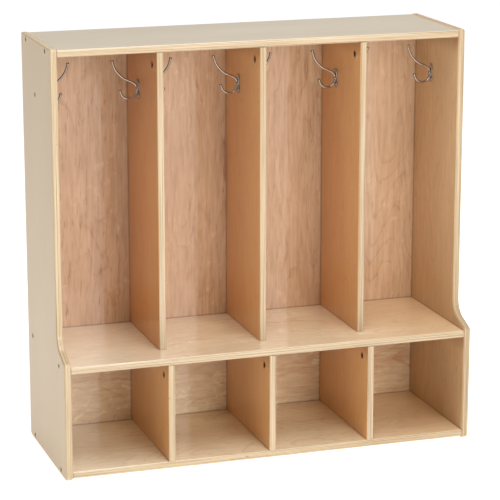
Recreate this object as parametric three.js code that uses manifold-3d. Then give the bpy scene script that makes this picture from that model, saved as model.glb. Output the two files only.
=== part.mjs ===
// School coat locker for four children: an open birch plywood case with a tall coat bay and a low
// cubby for each child, a seat between them, and a pair of double-prong coat hooks in every bay.
// Millimetres. +Z is up, -Y is the open front, and the origin is on the floor under the case's centre.
import * as THREE from "three";
import { mergeVertices } from "three/addons/utils/BufferGeometryUtils.js";
import Module from "manifold-3d";

const wasm = await Module();
wasm.setup();

// ---- Driving dimensions ----
const WIDTH = 914;
const DEPTH = 333;
const HEIGHT = 902;
const BOARD = 15; // thickness of every load-bearing board
const SEAT_TOP = 247; // height of the seat above the floor
const UPPER_SETBACK = 66; // how far the coat bays stand behind the front of the cubbies
const BAYS = 4;

const BACK_BOARD = 6; // thickness of the two back boards
const BACK_INSET = 25; // from the rear edges to the rear face of the back boards
const GROOVE_DEPTH = 5; // how far the back boards reach into their grooves
const EDGE_RECESS = 1.5; // boards between the sides stop this far behind the sides' front edges
const TOP_DROP = 2; // the top board lies this far below the tops of the sides
const FLOOR_GAP = 4; // the bottom board hangs this far above the floor
const GAP = 0.3; // clearance between pieces that meet

const EDGE_ROUND = 3; // radius on the long edges of every board
const FOOT_ROUND = 10; // radius of the sides' two bottom corners, seen from the side
const HEAD_ROUND = 5; // radius of their two top corners
// Each side comes forward below the coat bays in a hollow curve, then a straight slope down to the front.
const NOTCH_ROUND = 40; // radius of the hollow curve
const NOTCH_SLOPE = THREE.MathUtils.degToRad(20); // of the straight stretch, below level
const NOTCH_FRONT = 253; // height at which that slope would meet the front edge
const NOTCH_LIP = 7; // radius that rounds off the corner there

// ---- Places worked out from them ----
const FRONT = -DEPTH / 2;
const REAR = DEPTH / 2;
const UPPER_FRONT = FRONT + UPPER_SETBACK;
const INNER_HALF = WIDTH / 2 - BOARD; // from the centre to a side's inner face
const BAY_WIDTH = (WIDTH - (BAYS + 1) * BOARD) / BAYS;
const BACK_REAR = REAR - BACK_INSET;
const BACK_FRONT = BACK_REAR - BACK_BOARD;
const DIVIDER_REAR = BACK_FRONT - GAP;

// The three level boards: where each one's front edge is, and the height of its mid-thickness.
const LEVELS = {
  top: { front: UPPER_FRONT + EDGE_RECESS, z: HEIGHT - TOP_DROP - BOARD / 2 },
  seat: { front: FRONT + EDGE_RECESS, z: SEAT_TOP - BOARD / 2 },
  bottom: { front: FRONT + EDGE_RECESS, z: FLOOR_GAP + BOARD / 2 },
};

// The two rows of dividers, and the level boards that each row stands between.
const TIERS = {
  upper: { below: LEVELS.seat, above: LEVELS.top },
  lower: { below: LEVELS.bottom, above: LEVELS.seat },
};
const DIVIDERS = [1, 2, 3];

// ---- Fasteners ----
// One-piece connector screws hold the level boards' ends to the sides.
const SCREW = { head: 10, headHeight: 4, neck: 7, neckHeight: 10, core: 5, length: 50, socket: 5 };
const SCREW_SUNK = 1; // its head lies this far below the side's outer face
const SCREW_SOCKET_DEPTH = 2.5;
const SCREW_FRONT_SET = 46; // from a level board's front edge
const SCREW_REAR_SET = 45; // from its rear edge
// A cam lock in each divider pulls on a steel pin that is screwed into the board above.
const CAM = { diameter: 15, depth: 11, sunk: 1, fromEnd: 30, fromFront: 36 };
const CAM_CROSS = { long: 9, wide: 2, depth: 2.5 };
const CAM_FACETS = 16;
const PIN = { thread: 6, threadHeight: 9, collar: 8, collarHeight: 2.5, neck: 4, head: 6, headHeight: 3 };
// A wooden dowel stands in the board below each divider.
const DOWEL = { diameter: 8, up: 18, down: 9, chamfer: 1, fromFront: 60 };
// The hook on a side is held by a bolt through it, and the two on a divider by one stud.
const HOOK_BOLT = { thread: 5, head: 10, headHeight: 3, socket: 4, socketDepth: 1.8 };
const HOOK_BOLT_SUNK = 0.5;
const HOOK_TAP = 4.5; // depth of the threaded hole in a hook, from the wall

// ---- Coat hooks ----
const HOOK_Y = FRONT + 212;
const HOOK_Z = 786;
const HOOK = {
  rod: 4.8, // thickness of the prongs
  ball: 7, // diameter of the ball on each tip
  plate: 2.6, // thickness of the wall plate
  lobe: 8, // radius of each end of the plate
  lobeZ: 13, // height of each end's centre above and below the middle
  waist: 5, // half the plate's width at the middle
  boss: 10, // diameter of the boss that the prongs grow from
  bossHeight: 5.6,
};
// The line of both prongs, from the upper tip to the lower one, as distance from the wall and height.
const PRONG_LINE = [
  [57, 61],
  [50, 43],
  [34, 25.5],
  [13, 15],
  [6, 9],
  [3.8, 0],
  [5, -9],
  [10.5, -16.5],
  [19, -20],
  [28, -18.5],
  [36, -13],
  [40.5, -3],
];

// ---- Finishes ----
const WOOD = { color: 0xd9b98c, roughness: 0.45, metalness: 0 };
const BACK_WOOD = { color: 0xc99a73, roughness: 0.5, metalness: 0 };
const BEECH = { color: 0xd8b083, roughness: 0.7, metalness: 0 };
const CHROME = { color: 0xc9cbcc, roughness: 0.15, metalness: 1 };
const DARK_STEEL = { color: 0x6a6258, roughness: 0.4, metalness: 0.9 };
const ZINC = { color: 0x9b9a96, roughness: 0.45, metalness: 0.9 };

const locker = new THREE.Group();

// ---- Tools ----

// A closed geometry as a solid that can be joined and cut.
function toSolid(geometry) {
  const bare = geometry.clone();
  bare.deleteAttribute("normal");
  bare.deleteAttribute("uv");
  const merged = mergeVertices(bare, 1e-4);
  const vertProperties = merged.attributes.position.array;
  const triVerts = new Uint32Array(merged.index.array);
  return new wasm.Manifold(new wasm.Mesh({ numProp: 3, vertProperties, triVerts }));
}

function toGeometry(solid) {
  const { vertProperties, triVerts } = solid.getMesh();
  const geometry = new THREE.BufferGeometry();
  geometry.setAttribute("position", new THREE.BufferAttribute(vertProperties, 3));
  geometry.setIndex(new THREE.BufferAttribute(triVerts, 1));
  geometry.computeVertexNormals();
  return geometry;
}

function cutFrom(geometry, cuts) {
  return toGeometry(cuts.reduce((rest, cut) => rest.subtract(toSolid(cut)), toSolid(geometry)));
}

function join(geometries) {
  return toGeometry(geometries.map(toSolid).reduce((all, next) => all.add(next)));
}

// Adds one named piece, at a position and turned about the vertical.
function add(name, geometry, finish, position = [0, 0, 0], turn = 0) {
  const mesh = new THREE.Mesh(geometry, new THREE.MeshStandardMaterial(finish));
  mesh.name = name;
  mesh.position.set(...position);
  mesh.rotation.z = turn;
  locker.add(mesh);
}

// A box between two opposite corners, given in either order.
function boxBetween(a, b) {
  const size = a.map((value, axis) => Math.abs(value - b[axis]));
  const middle = a.map((value, axis) => (value + b[axis]) / 2);
  return new THREE.BoxGeometry(...size).translate(...middle);
}

// A turned piece along +X from a profile of radii and distances.
function turned(profile, facets = 10) {
  const points = profile.map(([radius, along]) => new THREE.Vector2(radius, along));
  return new THREE.LatheGeometry(points, facets).rotateZ(-Math.PI / 2);
}

// A round bar along +X between two distances.
function bar(diameter, from, to, facets = 10) {
  const radius = diameter / 2;
  return turned([[0, from], [radius, from], [radius, to], [0, to]], facets);
}

// A level round hole through the point y, z, from one x to another, with clearance all round.
function levelHole(diameter, fromX, toX, y, z, facets) {
  const [low, high] = [Math.min(fromX, toX), Math.max(fromX, toX)];
  return bar(diameter + 2 * GAP, low, high, facets).translate(0, y, z);
}

// An upright round hole through the point x, y, from one height to another.
function uprightHole(diameter, x, y, low, high) {
  return bar(diameter + 2 * GAP, low, high)
    .rotateY(-Math.PI / 2)
    .translate(x, y, 0);
}

// Turns a shape drawn in Y and Z, and extruded, so that its thickness runs along +X.
const ACROSS = new THREE.Matrix4().makeBasis(
  new THREE.Vector3(0, 1, 0),
  new THREE.Vector3(0, 0, 1),
  new THREE.Vector3(1, 0, 0),
);

// The centre of divider 1, 2 or 3 across the case. 0 and 4 are the sides.
function dividerX(index) {
  return -WIDTH / 2 + BOARD / 2 + index * (BAY_WIDTH + BOARD);
}

// ---- Level boards ----

// A board's section from front to rear, centred on its thickness, with a rounded front edge.
function boardSection(front, rear) {
  const half = BOARD / 2;
  const shape = new THREE.Shape();
  shape.moveTo(rear, -half);
  shape.lineTo(rear, half);
  shape.absarc(front + EDGE_ROUND, half - EDGE_ROUND, EDGE_ROUND, Math.PI / 2, Math.PI);
  shape.absarc(front + EDGE_ROUND, EDGE_ROUND - half, EDGE_ROUND, Math.PI, Math.PI * 1.5);
  return shape;
}

function levelBoard({ front, z }) {
  const length = 2 * (INNER_HALF - GAP);
  const settings = { depth: length, bevelEnabled: false, curveSegments: 3 };
  return new THREE.ExtrudeGeometry(boardSection(front, REAR), settings)
    .applyMatrix4(ACROSS)
    .translate(-length / 2, 0, z);
}

// Where the connector screws go through the sides: two for each end of a level board.
function screwPlaces(board) {
  const { front, z } = LEVELS[board];
  return [
    { end: "front", y: front + SCREW_FRONT_SET, z },
    { end: "rear", y: REAR - SCREW_REAR_SET, z },
  ];
}

// The screw holes in both ends of a level board.
function endHoles(board) {
  const tip = WIDTH / 2 - SCREW_SUNK - SCREW.headHeight - SCREW.length - GAP;
  return screwPlaces(board).flatMap(({ y, z }) =>
    [-1, 1].map((hand) => levelHole(SCREW.core, hand * (INNER_HALF + 1), hand * tip, y, z)),
  );
}

// The groove for a back board in the upper (1) or lower (-1) face of a level board.
function backGroove({ z }, face) {
  const surface = z + (face * BOARD) / 2;
  const floor = surface - face * (GROOVE_DEPTH + GAP);
  return boxBetween(
    [-WIDTH / 2, BACK_FRONT - GAP, floor],
    [WIDTH / 2, BACK_REAR + GAP, surface + face],
  );
}

// The holes for the cam pins in a level board's underside.
function pinHoles(level) {
  const under = level.z - BOARD / 2;
  const y = level.front + CAM.fromFront;
  return DIVIDERS.map((index) =>
    uprightHole(PIN.thread, dividerX(index), y, under - 1, under + PIN.threadHeight + GAP),
  );
}

// The dowel holes in the top of the level board below a row of dividers.
function dowelHoles({ below, above }) {
  const surface = below.z + BOARD / 2;
  const y = above.front + DOWEL.fromFront;
  return DIVIDERS.map((index) =>
    uprightHole(DOWEL.diameter, dividerX(index), y, surface - DOWEL.down - GAP, surface + 1),
  );
}

function addLevelBoards() {
  const cuts = {
    top: [...pinHoles(LEVELS.top), backGroove(LEVELS.top, -1)],
    seat: [
      ...pinHoles(LEVELS.seat),
      ...dowelHoles(TIERS.upper),
      backGroove(LEVELS.seat, 1),
      backGroove(LEVELS.seat, -1),
    ],
    bottom: [...dowelHoles(TIERS.lower), backGroove(LEVELS.bottom, 1)],
  };
  for (const [board, level] of Object.entries(LEVELS)) {
    add(`${board}_panel`, cutFrom(levelBoard(level), [...endHoles(board), ...cuts[board]]), WOOD);
  }
}

// ---- Sides ----

// A side's outline in Y and Z, drawn inside its true edge by the radius of the rounded edge.
function sideOutline() {
  const e = EDGE_ROUND;
  const [front, rear, upper] = [FRONT + e, REAR - e, UPPER_FRONT + e];
  const [low, high] = [e, HEIGHT - e];
  const foot = FOOT_ROUND - e;
  const head = HEAD_ROUND - e;
  const rise = Math.tan(NOTCH_SLOPE);
  const hollowZ =
    NOTCH_FRONT + (UPPER_SETBACK - NOTCH_ROUND) * rise + NOTCH_ROUND / Math.cos(NOTCH_SLOPE);
  const lipZ = NOTCH_FRONT + NOTCH_LIP * rise - NOTCH_LIP / Math.cos(NOTCH_SLOPE);
  const shape = new THREE.Shape();
  shape.absarc(front + foot, low + foot, foot, Math.PI, Math.PI * 1.5);
  shape.absarc(rear - foot, low + foot, foot, -Math.PI / 2, 0);
  shape.absarc(rear - head, high - head, head, 0, Math.PI / 2);
  shape.absarc(upper + head, high - head, head, Math.PI / 2, Math.PI);
  const hollowY = UPPER_FRONT - NOTCH_ROUND;
  shape.absarc(hollowY, hollowZ, NOTCH_ROUND + e, 0, NOTCH_SLOPE - Math.PI / 2, true);
  shape.absarc(FRONT + NOTCH_LIP, lipZ, NOTCH_LIP - e, Math.PI / 2 + NOTCH_SLOPE, Math.PI);
  return shape;
}

// A side at the left (-1) or right (1), drilled for its fasteners and grooved for the back boards.
function sidePanel(hand) {
  const outer = (hand * WIDTH) / 2;
  const inner = hand * INNER_HALF;
  const blank = new THREE.ExtrudeGeometry(sideOutline(), {
    depth: BOARD - 2 * EDGE_ROUND,
    bevelThickness: EDGE_ROUND,
    bevelSize: EDGE_ROUND,
    bevelSegments: 2,
    curveSegments: 3,
  })
    .applyMatrix4(ACROSS)
    .translate(Math.min(outer, inner) + EDGE_ROUND, 0, 0);
  const sunkHole = (head, depth, shank, y, z) => [
    levelHole(head, outer + hand, outer - hand * (depth + GAP), y, z),
    levelHole(shank, outer, inner - hand, y, z),
  ];
  const screwHoles = Object.keys(LEVELS)
    .flatMap(screwPlaces)
    .flatMap(({ y, z }) => sunkHole(SCREW.head, SCREW_SUNK + SCREW.headHeight, SCREW.neck, y, z));
  const boltDepth = HOOK_BOLT_SUNK + HOOK_BOLT.headHeight;
  const boltHole = sunkHole(HOOK_BOLT.head, boltDepth, HOOK_BOLT.thread, HOOK_Y, HOOK_Z);
  const groove = boxBetween(
    [inner - hand, BACK_FRONT - GAP, LEVELS.bottom.z],
    [inner + hand * (GROOVE_DEPTH + GAP), BACK_REAR + GAP, LEVELS.top.z],
  );
  return cutFrom(blank, [...screwHoles, ...boltHole, groove]);
}

// ---- Dividers, each with a cam lock and its pin at the top and a dowel at the bottom ----

function divider({ below, above }, index) {
  const x = dividerX(index);
  const face = x - BOARD / 2;
  const [bottom, top] = [below.z + BOARD / 2 + GAP, above.z - BOARD / 2 - GAP];
  const settings = { depth: top - bottom, bevelEnabled: false, curveSegments: 3 };
  const blank = new THREE.ExtrudeGeometry(boardSection(above.front, DIVIDER_REAR), settings)
    .rotateZ(Math.PI / 2)
    .translate(x, 0, bottom);
  const camY = above.front + CAM.fromFront;
  const camZ = above.z - BOARD / 2 - CAM.fromEnd;
  const dowelY = above.front + DOWEL.fromFront;
  const dowelTop = below.z + BOARD / 2 + DOWEL.up + GAP;
  return cutFrom(blank, [
    levelHole(CAM.diameter, face - 1, face + CAM.sunk + CAM.depth + GAP, camY, camZ, CAM_FACETS),
    uprightHole(PIN.collar, x, camY, camZ, top + 1),
    uprightHole(DOWEL.diameter, x, dowelY, bottom - 1, dowelTop),
    levelHole(HOOK_BOLT.thread, face - 1, face + BOARD + 1, HOOK_Y, HOOK_Z),
  ]);
}

// A cam disc along +X from its slotted face, with a pocket above for the pin's head.
function camLock() {
  const { long, wide, depth } = CAM_CROSS;
  const slots = [[long, wide], [wide, long]].map(([y, z]) =>
    boxBetween([-1, -y / 2, -z / 2], [depth, y / 2, z / 2]),
  );
  const middle = BOARD / 2 - CAM.sunk;
  const pocket = uprightHole(PIN.head, middle, 0, -PIN.headHeight, CAM.diameter);
  return cutFrom(bar(CAM.diameter, 0, CAM.depth, CAM_FACETS), [...slots, pocket]);
}

// A pin that is screwed into the board above, with its head at height 0 in the cam.
function camPin() {
  const half = PIN.headHeight / 2;
  const shoulder = CAM.fromEnd - GAP;
  return turned([
    [0, -half],
    [PIN.head / 2, -half],
    [PIN.head / 2, half],
    [PIN.neck / 2, half],
    [PIN.neck / 2, shoulder - PIN.collarHeight],
    [PIN.collar / 2, shoulder - PIN.collarHeight],
    [PIN.collar / 2, shoulder],
    [PIN.thread / 2, shoulder],
    [PIN.thread / 2, CAM.fromEnd + PIN.threadHeight],
    [0, CAM.fromEnd + PIN.threadHeight],
  ]).rotateY(-Math.PI / 2);
}

// A dowel with chamfered ends, upright, with height 0 at the joint that it crosses.
function dowel() {
  const radius = DOWEL.diameter / 2;
  const { up, down, chamfer } = DOWEL;
  return turned([
    [0, -down],
    [radius - chamfer, -down],
    [radius, chamfer - down],
    [radius, up - chamfer],
    [radius - chamfer, up],
    [0, up],
  ]).rotateY(-Math.PI / 2);
}

function addDividers() {
  for (const [tier, place] of Object.entries(TIERS)) {
    const { below, above } = place;
    const camY = above.front + CAM.fromFront;
    const camZ = above.z - BOARD / 2 - CAM.fromEnd;
    const dowelY = above.front + DOWEL.fromFront;
    for (const index of DIVIDERS) {
      const x = dividerX(index);
      const camFace = x - BOARD / 2 + CAM.sunk;
      add(`${tier}_divider_${index}`, divider(place, index), WOOD);
      add(`cam_lock_${tier}_${index}`, camLock(), ZINC, [camFace, camY, camZ]);
      add(`cam_pin_${tier}_${index}`, camPin(), ZINC, [x, camY, camZ]);
      add(`dowel_${tier}_${index}`, dowel(), BEECH, [x, dowelY, below.z + BOARD / 2]);
    }
  }
}

// ---- Back boards, held in grooves all round ----
function addBacks() {
  const half = INNER_HALF + GROOVE_DEPTH;
  for (const [tier, { below, above }] of Object.entries(TIERS)) {
    const low = below.z + BOARD / 2 - GROOVE_DEPTH;
    const high = above.z - BOARD / 2 + GROOVE_DEPTH;
    const board = boxBetween([-half, BACK_FRONT, low], [half, BACK_REAR, high]);
    add(`${tier}_back_panel`, board, BACK_WOOD);
  }
}

// ---- Connector screws ----

// A screw along +X from its socketed head.
function connectorScrew() {
  const neckEnd = SCREW.headHeight + SCREW.neckHeight - GAP;
  const blank = turned([
    [0, 0],
    [SCREW.head / 2, 0],
    [SCREW.head / 2, SCREW.headHeight],
    [SCREW.neck / 2, SCREW.headHeight],
    [SCREW.neck / 2, neckEnd],
    [SCREW.core / 2, neckEnd],
    [SCREW.core / 2, SCREW.headHeight + SCREW.length],
    [0, SCREW.headHeight + SCREW.length],
  ]);
  return cutFrom(blank, [bar(SCREW.socket, -1, SCREW_SOCKET_DEPTH, 6)]);
}

// ---- Coat hooks and what holds them ----

// A bolt along +X from its socketed head, long enough to fill the hook's threaded hole.
function hookBolt() {
  const { head, headHeight, thread, socket, socketDepth } = HOOK_BOLT;
  const end = BOARD - HOOK_BOLT_SUNK + HOOK_TAP - GAP;
  const blank = turned([
    [0, 0],
    [head / 2, 0],
    [head / 2, headHeight],
    [thread / 2, headHeight],
    [thread / 2, end],
    [0, end],
  ]);
  return cutFrom(blank, [bar(socket, -1, socketDepth, 6)]);
}

// The wall plate of a hook: a round lobe above and below a narrow waist.
function hookPlate() {
  const { lobe, lobeZ, waist } = HOOK;
  const open = Math.PI / 6; // each lobe is round to this angle past its widest point
  const shoulder = lobe * Math.cos(open);
  const shoulderZ = lobeZ - lobe * Math.sin(open);
  const pinch = 2 * waist - shoulder;
  const shape = new THREE.Shape();
  shape.absarc(0, lobeZ, lobe, -open, Math.PI + open);
  shape.quadraticCurveTo(-pinch, 0, -shoulder, -shoulderZ);
  shape.absarc(0, -lobeZ, lobe, Math.PI - open, 2 * Math.PI + open);
  shape.quadraticCurveTo(pinch, 0, shoulder, shoulderZ);
  const settings = { depth: HOOK.plate, bevelEnabled: false, curveSegments: 3 };
  return new THREE.ExtrudeGeometry(shape, settings).applyMatrix4(ACROSS).translate(GAP, 0, 0);
}

// A hook on a wall at x = 0, with its prongs reaching out along +X.
function coatHook() {
  const points = PRONG_LINE.map(([out, up]) => new THREE.Vector3(out, 0, up));
  const line = new THREE.CatmullRomCurve3(points, false, "centripetal");
  const section = new THREE.Shape().absarc(0, 0, HOOK.rod / 2, 0, 2 * Math.PI);
  const prongs = new THREE.ExtrudeGeometry(section, {
    steps: 18,
    extrudePath: line,
    curveSegments: 3,
  });
  const tips = [points[0], points[points.length - 1]].map((tip) =>
    new THREE.SphereGeometry(HOOK.ball / 2, 8, 5).translate(tip.x, tip.y, tip.z),
  );
  const boss = bar(HOOK.boss, GAP, GAP + HOOK.bossHeight);
  const threaded = levelHole(HOOK_BOLT.thread, -1, HOOK_TAP, 0, 0);
  return cutFrom(join([hookPlate(), boss, prongs, ...tips]), [threaded]);
}

function addHooks() {
  const hook = coatHook();
  for (let bay = 1; bay <= BAYS; bay += 1) {
    const left = dividerX(bay - 1) + BOARD / 2;
    add(`coat_hook_${bay}_left`, hook, CHROME, [left, HOOK_Y, HOOK_Z]);
    add(`coat_hook_${bay}_right`, hook, CHROME, [left + BAY_WIDTH, HOOK_Y, HOOK_Z], Math.PI);
  }
  const reach = BOARD / 2 + HOOK_TAP - GAP;
  for (const index of DIVIDERS) {
    const stud = bar(HOOK_BOLT.thread, -reach, reach);
    add(`hook_stud_${index}`, stud, DARK_STEEL, [dividerX(index), HOOK_Y, HOOK_Z]);
  }
}

// ---- The two sides, with the fasteners that go through them ----
function addSides() {
  for (const [side, hand] of [["left", -1], ["right", 1]]) {
    const turn = hand < 0 ? 0 : Math.PI;
    add(`${side}_side_panel`, sidePanel(hand), WOOD);
    for (const board of Object.keys(LEVELS)) {
      for (const { end, y, z } of screwPlaces(board)) {
        const head = [hand * (WIDTH / 2 - SCREW_SUNK), y, z];
        add(`screw_${side}_${board}_${end}`, connectorScrew(), DARK_STEEL, head, turn);
      }
    }
    const bolt = [hand * (WIDTH / 2 - HOOK_BOLT_SUNK), HOOK_Y, HOOK_Z];
    add(`hook_bolt_${side}`, hookBolt(), DARK_STEEL, bolt, turn);
  }
}

addSides();
addLevelBoards();
addDividers();
addBacks();
addHooks();

export default locker;
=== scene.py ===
"""School coat locker in birch plywood: fine boards, fasteners and chrome hooks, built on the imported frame.

Everything is in metres in the frame's own axes: +Z up, -Y the open front, the floor at z = 0.
"""

import math

import bmesh
import bpy
from mathutils import Matrix, Vector


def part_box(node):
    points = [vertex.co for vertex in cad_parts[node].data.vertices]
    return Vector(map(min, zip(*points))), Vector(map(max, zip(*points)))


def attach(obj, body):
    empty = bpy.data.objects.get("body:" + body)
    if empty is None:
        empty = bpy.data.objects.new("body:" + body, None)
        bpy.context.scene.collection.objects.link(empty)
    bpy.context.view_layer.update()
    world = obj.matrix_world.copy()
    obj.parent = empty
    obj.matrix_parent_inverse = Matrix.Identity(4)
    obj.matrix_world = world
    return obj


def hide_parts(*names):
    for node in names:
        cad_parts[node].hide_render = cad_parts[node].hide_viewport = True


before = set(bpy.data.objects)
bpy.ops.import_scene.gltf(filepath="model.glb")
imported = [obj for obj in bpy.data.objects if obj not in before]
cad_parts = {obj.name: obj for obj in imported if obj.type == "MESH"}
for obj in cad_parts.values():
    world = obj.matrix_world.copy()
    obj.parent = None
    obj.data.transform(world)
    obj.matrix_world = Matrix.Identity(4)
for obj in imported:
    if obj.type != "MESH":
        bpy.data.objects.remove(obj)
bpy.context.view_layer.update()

MM = 0.001
X, Y, Z = 0, 1, 2
BODY = "root"

# ---- Camera and light ----
CAMERA = {
    "lens": 159.3,
    "azimuth": -18.37,
    "elevation": 14.0,
    "distance": 4.823,
    "target": (0.003, 0.0, 0.425),
}
SENSOR = 36.0
WORLD_LIGHT = 0.38
FLOOR_SIZE = 120.0
FLOOR_ALBEDO = 0.9
FLOOR_GLOW = 0.64  # the floor is a lit white table
FLOOR_ROUGHNESS = 0.9
FLOOR_SPECULAR = 0.1
# Soft boxes: azimuth and elevation in degrees, distance and size in metres, power in watts.
SOFT_BOXES = {
    "key_light": {"azimuth": 12, "elevation": 14, "distance": 4.5, "size": 1.6, "power": 62},
    "high_light": {"azimuth": 0, "elevation": 70, "distance": 2.5, "size": 1.4, "power": 34},
    "rear_light": {"azimuth": 165, "elevation": 68, "distance": 4.5, "size": 3.6, "power": 61},
}
LIGHT_TARGET = (0.0, 0.0, 0.45)

# ---- Boards ----
BOARD = 15 * MM  # thickness of all but the back boards
CORNER = 3 * MM  # radius on the long edges that show
EASED = 0.5 * MM  # the other edges are only eased
JOINT_EASED = 1.5 * MM  # where a divider meets the back, so that a fine dark line shows there
CLEARANCE = 0.3 * MM  # round a fastener in its hole, and behind a hook
PAST = 1 * MM  # how far a cutting shape reaches past the face that it opens
GROOVE_DEPTH = 5 * MM
FOOT_ROUND = 10 * MM
HEAD_ROUND = 5 * MM
UPPER_SETBACK = 66 * MM  # of the coat bays behind the front of the cubbies
NOTCH_ROUND = 40 * MM
NOTCH_SLOPE = 20  # degrees below level
NOTCH_FRONT = 253 * MM  # height at which the slope would meet the front edge
NOTCH_LIP = 7 * MM
LEVELS = ("top", "seat", "bottom")
TIERS = {"upper": ("seat", "top"), "lower": ("bottom", "seat")}
DIVIDERS = (1, 2, 3)
BAYS = (1, 2, 3, 4)

# ---- Fasteners ----
SCREW = {"head": 10 * MM, "head_height": 4 * MM, "neck": 7 * MM, "neck_height": 10 * MM, "core": 5 * MM}
SCREW_LENGTH = 54 * MM
SCREW_SUNK = 1 * MM
SCREW_SOCKET = (5 * MM, 2.5 * MM)  # size across its corners, and depth
HOOK_BOLT = {"head": 10 * MM, "head_height": 3 * MM, "thread": 5 * MM}
HOOK_BOLT_SUNK = 0.5 * MM
HOOK_BOLT_SOCKET = (4 * MM, 1.8 * MM)
HOOK_TAP = 4.5 * MM
CAM = {"diameter": 15 * MM, "depth": 11 * MM, "sunk": 1 * MM}
CAM_CROSS = {"long": 9 * MM, "wide": 2 * MM, "deep": 2.5 * MM}
CAM_FROM_END = 30 * MM
PIN = {"thread": 6 * MM, "thread_height": 9 * MM, "collar": 8 * MM, "collar_height": 2.5 * MM}
PIN_HEAD = {"neck": 4 * MM, "head": 6 * MM, "head_height": 3 * MM}
DOWEL = {"diameter": 8 * MM, "up": 18 * MM, "down": 9 * MM, "chamfer": 1 * MM}
# How far the corners of turned pieces are rounded.
HEAD_ROUNDED = 0.6 * MM
CAM_ROUNDED = 0.5 * MM
PIN_ROUNDED = 0.4 * MM
STUD_ROUNDED = 0.5 * MM
BOSS_ROUNDED = 1.2 * MM

# ---- Coat hooks ----
HOOK = {
    "rod": 4.8 * MM,
    "ball": 7 * MM,
    "plate": 2.6 * MM,
    "plate_round": 0.9 * MM,
    "lobe": 8 * MM,
    "lobe_z": 13 * MM,
    "waist": 5 * MM,
    "boss": 10 * MM,
    "boss_height": 5.6 * MM,
    "boss_start": 0.4 * MM,  # inside the plate, so that the two join
    "ball_gap": 0.3 * MM,  # between a ball and the bar's nearest ring
    "pole": 0.01 * MM,  # a ring smaller than this is a point
}
# The line of both prongs, from the upper tip to the lower one, as millimetres from the wall and up.
PRONG_LINE = [
    (57, 61),
    (50, 43),
    (34, 25.5),
    (13, 15),
    (6, 9),
    (3.8, 0),
    (5, -9),
    (10.5, -16.5),
    (19, -20),
    (28, -18.5),
    (36, -13),
    (40.5, -3),
]


# ---- Places ----


def middle_of(node):
    low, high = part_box(node)
    return (low + high) / 2


def wall_faces(index):
    """The left and right face of wall 0 to 4 across the coat bays: a side, a divider or the other side."""
    names = {0: "left_side_panel", 4: "right_side_panel"}
    low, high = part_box(names.get(index, f"upper_divider_{index}"))
    return low.x, high.x


# ---- Mesh tools ----


def arc(centre, radius, start, end, steps=8):
    """Points on an arc between two angles in degrees."""
    points = []
    for step in range(steps + 1):
        angle = math.radians(start + (end - start) * step / steps)
        points.append((centre[0] + radius * math.cos(angle), centre[1] + radius * math.sin(angle)))
    return points


def rounded_box(low, high, radii):
    """A rectangle's outline with its four corners rounded, from the lower left one round to the right."""
    corners = [(low[0], low[1]), (high[0], low[1]), (high[0], high[1]), (low[0], high[1])]
    inwards = [(1, 1), (-1, 1), (-1, -1), (1, -1)]
    outline = []
    for turn, (corner, inward, radius) in enumerate(zip(corners, inwards, radii)):
        centre = (corner[0] + inward[0] * radius, corner[1] + inward[1] * radius)
        outline += arc(centre, radius, 180 + 90 * turn, 270 + 90 * turn, 6)
    return outline


def inset(outline, distance):
    """A closed outline moved inwards, point by point."""
    points = [Vector(point) for point in outline]
    moved = []
    for index, point in enumerate(points):
        before = (point - points[index - 1]).normalized()
        after = (points[(index + 1) % len(points)] - point).normalized()
        inward = Vector((-before.y - after.y, before.x + after.x))
        moved.append(point + inward * (2 * distance / inward.length_squared))
    return moved


def to_mesh(bm, name):
    bmesh.ops.recalc_face_normals(bm, faces=bm.faces)
    mesh = bpy.data.meshes.new(name)
    bm.to_mesh(mesh)
    bm.free()
    return mesh


def skin(rings, name):
    """A closed mesh through rings of 3D points. A ring of one point is a pole, and other ends are capped."""
    bm = bmesh.new()
    rows = [[bm.verts.new(point) for point in ring] for ring in rings]
    for row, following in zip(rows, rows[1:]):
        count = max(len(row), len(following))
        for index in range(count):
            pair = (index, (index + 1) % count)
            near = [row[0]] if len(row) == 1 else [row[pair[0]], row[pair[1]]]
            far = [following[0]] if len(following) == 1 else [following[pair[1]], following[pair[0]]]
            bm.faces.new(near + far)
    for row in (rows[0], rows[-1]):
        if len(row) > 1:
            bm.faces.new(row)
    return to_mesh(bm, name)


def plate(outline, low, high, axes, rim=0.0, steps=6):
    """A board: an outline carried along the third of axes, with its rim rounded at both ends."""
    order = ["xyz".index(axis) for axis in axes]
    levels = [(0.0, 0.0)]
    if rim:
        angles = [math.pi / 2 * step / steps for step in range(steps + 1)]
        levels = [(rim * (1 - math.sin(angle)), rim * (1 - math.cos(angle))) for angle in angles]
    stack = [(depth, low + rise) for depth, rise in levels]
    stack += [(depth, high - rise) for depth, rise in reversed(levels)]
    rings = []
    for depth, along in stack:
        ring = []
        for across, up in inset(outline, depth):
            point = [0.0, 0.0, 0.0]
            for axis, value in zip(order, (across, up, along)):
                point[axis] = value
            ring.append(point)
        rings.append(ring)
    return skin(rings, "plate")


def turned(profile, segments=32):
    """A closed mesh turned about +X from radii and distances, starting and ending on the axis."""
    rings = []
    for radius, along in profile:
        angles = [2 * math.pi * step / segments for step in range(segments)] if radius else [0.0]
        rings.append([(along, radius * math.cos(angle), radius * math.sin(angle)) for angle in angles])
    return skin(rings, "turned")


def block(low, high):
    outline = [(low[0], low[1]), (high[0], low[1]), (high[0], high[1]), (low[0], high[1])]
    return plate(outline, low[2], high[2], "xyz")


def placed(mesh, matrix):
    copy = mesh.copy()
    copy.transform(matrix)
    return copy


def move(x, y, z):
    return Matrix.Translation((x, y, z))


HALF_TURN = Matrix.Rotation(math.pi, 4, "Z")
UPRIGHT = Matrix.Rotation(-math.pi / 2, 4, "Y")  # takes +X to +Z


def merged(meshes):
    bm = bmesh.new()
    for mesh in meshes:
        bm.from_mesh(mesh)
    return to_mesh(bm, "merged")


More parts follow.
